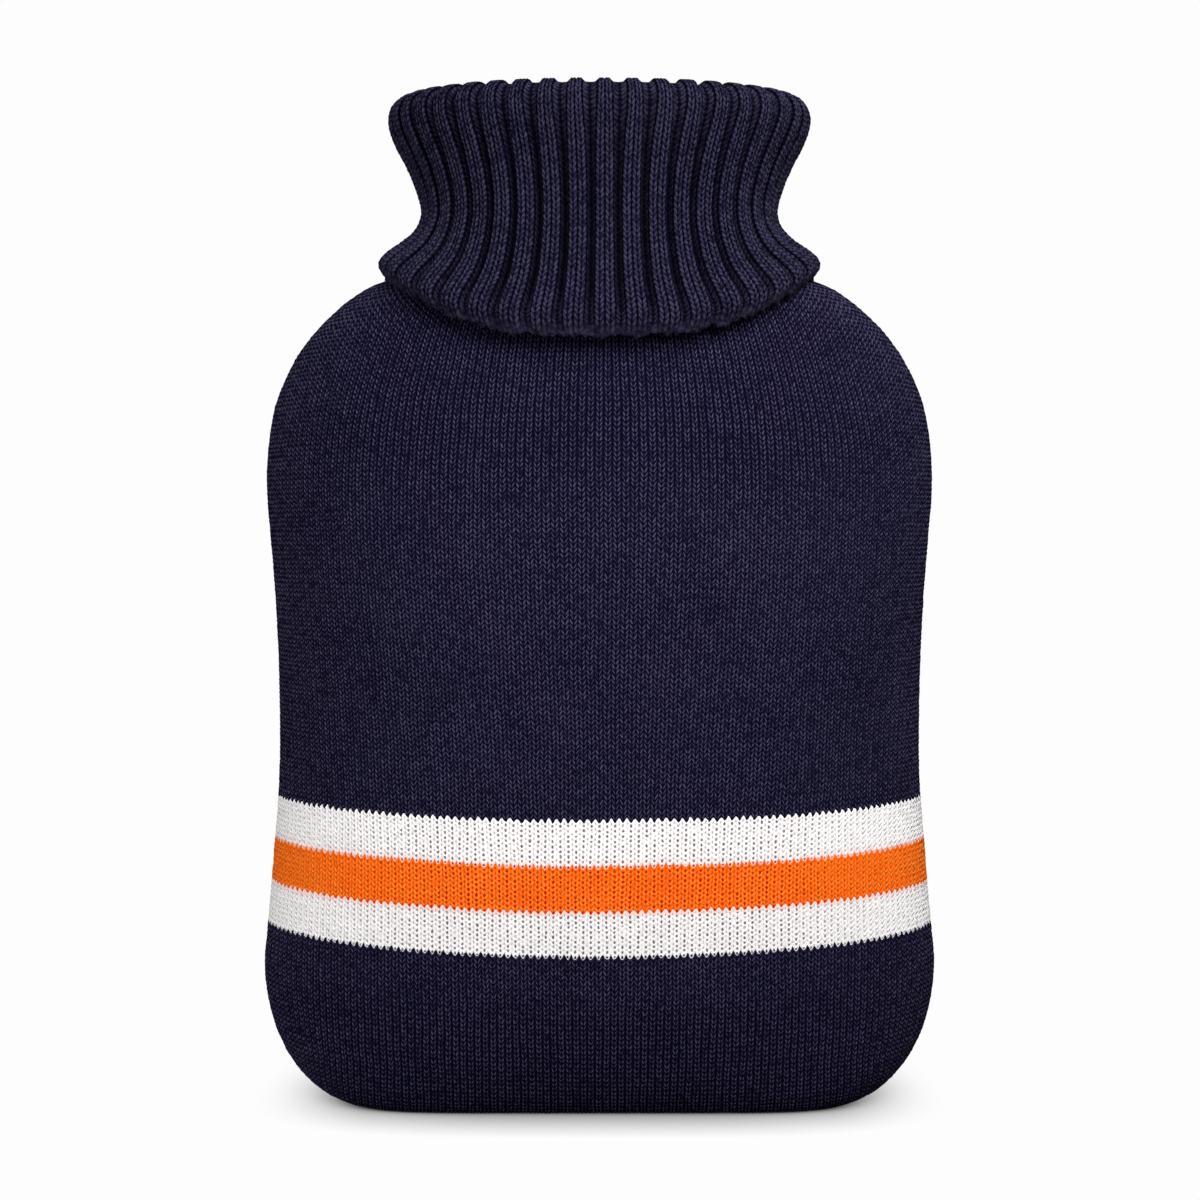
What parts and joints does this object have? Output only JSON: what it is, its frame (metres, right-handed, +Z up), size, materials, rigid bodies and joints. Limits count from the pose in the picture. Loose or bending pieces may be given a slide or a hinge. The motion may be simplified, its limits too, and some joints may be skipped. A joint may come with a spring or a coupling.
{
  "type": "knitted hot water bottle cover",
  "caption": "Knitted cover in the shape of a filled hot water bottle, open at a ribbed roll-neck collar and standing on a flat base.",
  "frame": {"origin": "centre of the base, on the surface that the cover stands on", "axes": "+Z up from the base to the collar; the front faces -Y; the width runs along X"},
  "size_m": [0.2292, 0.1078, 0.3352],
  "materials": {
    "stockinette": "matt navy stockinette knit with a white, orange and white stripe band",
    "rib_knit": "matt navy rib knit"
  },
  "bodies": {
    "root": {"front_panel": "stockinette", "back_panel": "stockinette", "collar": "rib_knit"}
  },
  "joints": []
}
